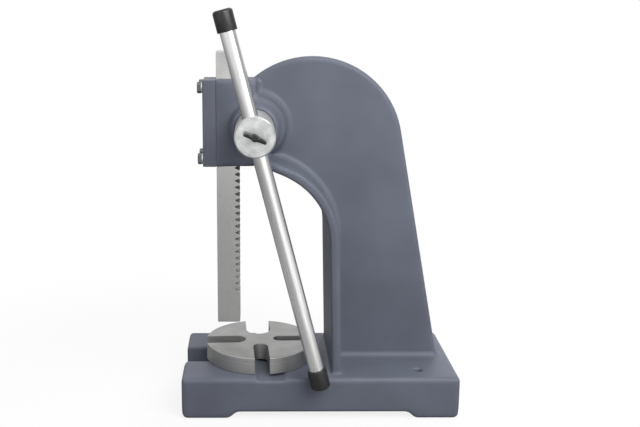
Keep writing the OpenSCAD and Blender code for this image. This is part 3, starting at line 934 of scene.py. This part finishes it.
@dataclass
class Lever:
    """The sliding lever bar and the caps on its ends."""

    sides: int = 96
    bar_chamfer_mm: float = 1.2
    crown_mm: float = 5.0
    lip_mm: float = 0.9
    socket_play_mm: float = 0.05
    bar_sharp_deg: float = 30.0
    cap_sharp_deg: float = 40.0
    origin: Vector = field(default_factory=Vector)

    def __post_init__(self) -> None:
        """Find the lever's middle line from the CAD bar."""
        low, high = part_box("lever_bar")
        self.origin = Vector((PINION_AXIS.x, (low.y + high.y) / 2, PINION_AXIS.z))

    def along(self, place: float) -> Vector:
        """Give a point on the lever's middle line.

        Args:
            place: Its distance above the hub.

        Returns:
            The point.
        """
        return self.origin + LEVER_AXIS * place

    def height(self, point: Vector) -> float:
        """Measure a point along the lever.

        Args:
            point: The point.

        Returns:
            Its distance above the hub.
        """
        return (point - self.origin).dot(LEVER_AXIS)

    def build(self) -> None:
        """Model and hand over the bar and both caps."""
        self.build_bar()
        self.build_cap("upper", 1)
        self.build_cap("lower", -1)

    def build_bar(self) -> None:
        """Model the bar as a fine cylinder with chamfered ends."""
        low, high, radius = reach("lever_bar", self.origin, LEVER_AXIS)
        bar = rod("press_lever_bar", self.along(low), self.along(high), radius, self.sides)
        bpy.ops.object.mode_set(mode="EDIT")
        pick(bar, Part.EDGES, lambda c: min(abs(self.height(c) - end) for end in (low, high)) < NEAR)
        bpy.ops.mesh.bevel(offset=self.bar_chamfer_mm * MM, segments=1, affect="EDGES")
        bpy.ops.object.mode_set(mode="OBJECT")
        bpy.ops.object.shade_smooth_by_angle(angle=math.radians(self.bar_sharp_deg))
        hand_over(bar, "lever", LEVER_STEEL, ["lever_bar"])

    def build_cap(self, end: str, side: int) -> None:
        """Model one cap: a socket on the bar, a rolled lip and a crowned closed end.

        Args:
            end: Which end of the lever, as the CAD node names it.
            side: 1 for the upper end and -1 for the lower one.
        """
        low, high, radius = reach(f"lever_cap_{end}", self.origin, LEVER_AXIS)
        bar_low, bar_high, bar_radius = reach("lever_bar", self.origin, LEVER_AXIS)
        mouth, crown = (low, high) if side > 0 else (high, low)
        floor = bar_high if side > 0 else bar_low
        cap = rod(f"press_lever_cap_{end}", self.along(mouth), self.along(crown), radius, self.sides)
        bpy.ops.object.mode_set(mode="EDIT")
        pick(cap, Part.FACES, lambda c: abs(self.height(c) - mouth) < NEAR)
        bpy.ops.mesh.inset(thickness=radius - bar_radius - self.socket_play_mm * MM, depth=0)
        bpy.ops.mesh.extrude_region_move(TRANSFORM_OT_translate={"value": LEVER_AXIS * (floor - mouth)})
        pick(cap, Part.EDGES, lambda c: abs(self.height(c) - crown) < NEAR)
        bpy.ops.mesh.bevel(offset=self.crown_mm * MM, segments=6, affect="EDGES")
        pick(cap, Part.EDGES, lambda c: abs(self.height(c) - mouth) < NEAR)
        bpy.ops.mesh.bevel(offset=self.lip_mm * MM, segments=3, affect="EDGES")
        bpy.ops.object.mode_set(mode="OBJECT")
        bpy.ops.object.shade_smooth_by_angle(angle=math.radians(self.cap_sharp_deg))
        hand_over(cap, "lever", RUBBER, [f"lever_cap_{end}"])


@dataclass
class WingScrew:
    """The cast wing screw in the hub's face, modelled upright with its wings along X and then placed."""

    span_mm: float = 38.0
    height_mm: float = 15.0
    thickness_mm: float = 9.4
    block_mm: float = 8.0
    block_middle_mm: float = 4.5
    # Each step outward lifts a wing by so much, and makes it thinner and taller by these shares
    lifts_mm: tuple[float, ...] = (1.4, 3.6, 2.9)
    thinner: tuple[float, ...] = (0.84, 0.86, 0.94)
    taller: tuple[float, ...] = (1.0, 1.05, 0.85)
    collar_r_mm: float = 5.9
    collar_height_mm: float = 9.0
    collar_ease_mm: float = 2.2
    thread_r_mm: float = 5.0
    thread_top_mm: float = 6.0
    sides: int = 48
    tilt_deg: float = 22.0
    voxel_mm: float = 0.45
    smooth_passes: int = 6

    def build(self) -> None:
        """Model the wings and the stem, fuse them as one casting, place it and hand it over."""
        low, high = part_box("wing_screw")
        # The thread inside the hub is what the CAD screw has behind the wings' own height
        thread = high.y - low.y - self.height_mm * MM
        wings = self.build_wings()
        tip = Vector((0, 0, -thread))
        top = Vector((0, 0, self.thread_top_mm * MM))
        stem = rod("wing_stem", tip, top, self.thread_r_mm * MM, self.sides)
        collar = self.build_collar()
        focus(wings)
        stem.select_set(True)
        collar.select_set(True)
        bpy.ops.object.join()
        piece = adopt("press_wing_screw")
        finish_with(piece, "REMESH", mode="VOXEL", voxel_size=self.voxel_mm * MM, adaptivity=0.0)
        finish_with(piece, "SMOOTH", factor=0.5, iterations=self.smooth_passes)
        lean = Matrix.Rotation(math.radians(self.tilt_deg), 4, "Y")
        outward = Matrix.Rotation(math.radians(90), 4, "X")
        place = Matrix.Translation((PINION_AXIS.x, high.y - thread, PINION_AXIS.z))
        piece.matrix_world = place @ lean @ outward
        settle(piece)
        bpy.ops.object.shade_smooth()
        hand_over(piece, "wing", BLACK_OXIDE, ["wing_screw"])

    def build_collar(self) -> bpy.types.Object:
        """Model the round collar between the wings, with its upper edge rounded.

        Returns:
            The collar, upright at the origin.
        """
        top = self.collar_height_mm * MM
        collar = rod("wing_collar", Vector((0, 0, 0)), Vector((0, 0, top)), self.collar_r_mm * MM, self.sides)
        bpy.ops.object.mode_set(mode="EDIT")
        pick(collar, Part.EDGES, lambda c: c.z > top - NEAR)
        bpy.ops.mesh.bevel(offset=self.collar_ease_mm * MM, segments=4, affect="EDGES")
        bpy.ops.object.mode_set(mode="OBJECT")
        return collar

    def build_wings(self) -> bpy.types.Object:
        """Model both wings by extruding a block sideways and up, and round them by subdivision.

        Returns:
            The wings, upright at the origin.
        """
        bpy.ops.object.select_all(action="DESELECT")
        bpy.ops.mesh.primitive_cube_add(size=1.0, location=(0, 0, self.block_middle_mm * MM))
        wings = adopt("wing_pair")
        wings.scale = (self.block_mm * MM, self.thickness_mm * MM, self.block_mm * MM)
        settle(wings)
        bpy.ops.object.mode_set(mode="EDIT")
        half = self.block_mm / 2 * MM
        reach_out = (self.span_mm * MM / 2 - half) / len(self.lifts_mm)
        for side in (-1, 1):
            end = half
            for lift_mm, thin, tall in zip(self.lifts_mm, self.thinner, self.taller):
                pick(wings, Part.FACES, lambda c, x=side * end: max(abs(c.x - x), abs(c.y)) < 2 * NEAR)
                step = (side * reach_out, 0, lift_mm * MM)
                bpy.ops.mesh.extrude_region_move(TRANSFORM_OT_translate={"value": step})
                bpy.ops.transform.resize(value=(1, thin, tall))
                end += reach_out
        bpy.ops.object.mode_set(mode="OBJECT")
        finish_with(wings, "SUBSURF", levels=2, render_levels=2)
        return wings


@dataclass
class Table:
    """The slotted table plate and its pin."""

    ease_mm: float = 0.5

    def build(self) -> None:
        """Break the plate's edges, hand it over and dress the pin."""
        plate = eased_copy("table_plate", "press_table_plate", self.ease_mm)
        hand_over(plate, "table", TABLE_STEEL, ["table_plate"])
        dress_node("table_pin", HUB_STEEL)


@dataclass
class Viewpoint:
    """The camera: where the photograph was taken from, and its frame."""

    place: tuple[float, float, float] = (0.04085, -1.47655, 0.66242)
    yaw_deg: float = 0.2078
    pitch_deg: float = 11.2145
    focal_px: float = 899.80
    centre_px: tuple[float, float] = (256.20, 184.60)
    frame_px: tuple[int, int] = (640, 427)
    sensor_mm: float = 36.0

    def build(self) -> None:
        """Add the camera and make it the scene's."""
        data = bpy.data.cameras.new("photo_camera")
        data.sensor_fit = "HORIZONTAL"
        data.sensor_width = self.sensor_mm
        width, height = self.frame_px
        data.lens = self.focal_px / width * self.sensor_mm
        data.shift_x = (width / 2 - self.centre_px[0]) / width
        data.shift_y = (self.centre_px[1] - height / 2) / width
        data.clip_end = 60.0
        camera = bpy.data.objects.new("photo_camera", data)
        camera.location = self.place
        camera.rotation_euler = (math.radians(90 - self.pitch_deg), 0, math.radians(-self.yaw_deg))
        bpy.context.scene.collection.objects.link(camera)
        bpy.context.scene.camera = camera


@dataclass(frozen=True)
class Lamp:
    """One soft box: where it stands, how large it is, how strongly it shines and whether metal shows it."""

    name: str
    place: tuple[float, float, float]
    size: tuple[float, float]
    watts: float
    in_metal: bool = True


@dataclass
class Studio:
    """A pale floor, a white surround and soft boxes."""

    floor_size: float = 40.0
    floor_to_camera: str = "#f6f6f6"
    floor_to_metal: str = "#ababab"
    floor_to_paint: str = "#828282"
    # Where the floor's glow changes, in metres from the press, and its share at both ends
    camera_fade: Range = (0.35, 0.9)
    camera_glow: Range = (0.84, 1.0)
    far_fade: Range = (1.2, 3.3)
    right_fade: Range = (-0.05, 0.5)
    front_fade: Range = (-0.8, -0.3)
    front_glow: Range = (0.95, 0.15)
    back_fade: Range = (0.2, 0.8)
    back_glow: Range = (1.0, 0.42)
    left_fade: Range = (-1.0, -0.1)
    left_tone: Range = (0.8, 1.0)
    lit_gain: float = 0.3
    # The surround's strength: to metal by how far a ray goes sideways, and to paint by how far it goes up
    side_fade: Range = (0.5, 0.98)
    side_glow: Range = (1.0, 0.42)
    sky_fade: Range = (-0.2, 0.9)
    sky_glow: Range = (0.18, 0.5)
    aim: tuple[float, float, float] = (0.15, 0.0, 0.32)
    lamps: Sequence[Lamp] = (
        Lamp("key_box", (0.65, -0.95, 1.3), (1.2, 1.0), 16.5),
        Lamp("wall_box", (1.45, -1.5, 1.15), (1.5, 1.15), 11.0),
        Lamp("side_box", (-1.5, -1.5, 1.1), (1.0, 1.4), 6.0),
        Lamp("top_box", (0.1, 0.5, 1.9), (1.6, 1.2), 2.0),
        Lamp("back_box", (0.7, 2.0, 0.5), (1.4, 0.9), 34.0, in_metal=False),
    )

    def build(self) -> None:
        """Add the floor, the world and the lamps, and set the view transform."""
        bpy.context.scene.view_settings.view_transform = "Standard"
        self.build_floor()
        self.build_world()
        for lamp in self.lamps:
            self.build_lamp(lamp)

    def metal_ray(self, tree: Tree, path: Node) -> Socket:
        """Give a mask that is 1 for rays that come off metal or through glass.

        Args:
            tree: The node tree to add to.
            path: Its light path node.

        Returns:
            The mask's socket.
        """
        return calc(tree, "MAXIMUM", path.outputs["Is Glossy Ray"], path.outputs["Is Transmission Ray"])

    def ramp(self, tree: Tree, value: Socket, source: Range, target: Range) -> Socket:
        """Map a value smoothly from one range to another.

        Args:
            tree: The node tree to add to.
            value: The value to map.
            source: The range that comes in.
            target: The range that goes out.

        Returns:
            The mapped value's socket.
        """
        return span(tree, value, source, target, "SMOOTHSTEP")

    def build_floor(self) -> None:
        """Add a wide floor: white to the camera with the press's shadow on it, and grey to the rest."""
        bpy.ops.object.select_all(action="DESELECT")
        bpy.ops.mesh.primitive_plane_add(size=self.floor_size, location=(0, 0, 0))
        floor = adopt("studio_floor")
        paper = bpy.data.materials.new("white_paper_floor")
        paper.use_nodes = True
        tree = paper.node_tree
        tree.nodes.clear()
        path = add(tree, "ShaderNodeLightPath")
        camera = path.outputs["Is Camera Ray"]
        mirror = self.metal_ray(tree, path)
        place = add(tree, "ShaderNodeTexCoord").outputs["Object"]
        away = add(tree, "ShaderNodeVectorMath", {0: place}, operation="LENGTH").outputs["Value"]
        apart = add(tree, "ShaderNodeSeparateXYZ", {"Vector": place})
        right = self.ramp(tree, apart.outputs["X"], self.right_fade, FULL)
        before = self.ramp(tree, apart.outputs["Y"], self.front_fade, self.front_glow)
        behind = self.ramp(tree, apart.outputs["Y"], self.back_fade, self.back_glow)
        lit = calc(tree, "MULTIPLY", right, before)
        clear = calc(tree, "MAXIMUM", self.ramp(tree, away, self.far_fade, FULL), lit)
        to_metal = calc(tree, "MULTIPLY", clear, behind)
        to_camera = self.ramp(tree, away, self.camera_fade, self.camera_glow)
        share = blend(tree, camera, blend(tree, mirror, 0.0, to_metal), to_camera)
        grey = linear(self.floor_to_metal)[0]
        left = self.ramp(tree, apart.outputs["X"], self.left_fade, tuple(t * grey for t in self.left_tone))
        dim = calc(tree, "MULTIPLY", left, behind)
        tone = blend(tree, camera, blend(tree, mirror, linear(self.floor_to_paint)[0], dim),
                     linear(self.floor_to_camera)[0])
        matt = add(tree, "ShaderNodeBsdfDiffuse", {"Color": tone}).outputs[0]
        power = blend(tree, camera, calc(tree, "MULTIPLY_ADD", lit, self.lit_gain, 1.0), 1.0)
        glow = add(tree, "ShaderNodeEmission", {"Color": linear("#ffffff"), "Strength": power}).outputs[0]
        mixed = add(tree, "ShaderNodeMixShader", {0: share, 1: matt, 2: glow}).outputs[0]
        add(tree, "ShaderNodeOutputMaterial", {"Surface": mixed})
        floor.data.materials.append(paper)

    def build_world(self) -> None:
        """Make the surround white to the camera, dim at the sides to metal and brighter above to paint."""
        world = bpy.data.worlds.new("studio_surround")
        world.use_nodes = True
        tree = world.node_tree
        tree.nodes.clear()
        path = add(tree, "ShaderNodeLightPath")
        way = add(tree, "ShaderNodeTexCoord").outputs["Generated"]
        apart = add(tree, "ShaderNodeSeparateXYZ", {"Vector": way})
        sideways = calc(tree, "ABSOLUTE", apart.outputs["X"])
        to_metal = self.ramp(tree, sideways, self.side_fade, self.side_glow)
        to_paint = self.ramp(tree, apart.outputs["Z"], self.sky_fade, self.sky_glow)
        room = blend(tree, self.metal_ray(tree, path), to_paint, to_metal)
        level = blend(tree, path.outputs["Is Camera Ray"], room, 1.0)
        white = {"Color": linear("#ffffff"), "Strength": level}
        add(tree, "ShaderNodeOutputWorld", {"Surface": add(tree, "ShaderNodeBackground", white).outputs[0]})
        bpy.context.scene.world = world

    def build_lamp(self, lamp: Lamp) -> None:
        """Add one soft box that faces the press.

        Args:
            lamp: Its place, size and strength.
        """
        data = bpy.data.lights.new(lamp.name, "AREA")
        data.shape = "RECTANGLE"
        data.size, data.size_y = lamp.size
        data.energy = lamp.watts
        box = bpy.data.objects.new(lamp.name, data)
        box.visible_glossy = lamp.in_metal
        box.location = lamp.place
        box.rotation_euler = (Vector(self.aim) - Vector(lamp.place)).to_track_quat("-Z", "Y").to_euler()
        bpy.context.scene.collection.objects.link(box)


def main() -> None:
    """Build the studio and every sub-assembly, logging each one's name."""
    logging.basicConfig(level=logging.INFO, format="%(name)s: %(message)s")
    stage = (Viewpoint(), Studio())
    press = (Casting(), FrontPlate(), Ram(), PinionShaft(), Lever(), WingScrew(), Table())
    for part in stage + press:
        LOG.info("building %s", type(part).__name__)
        part.build()


if __name__ == "__main__":
    main()
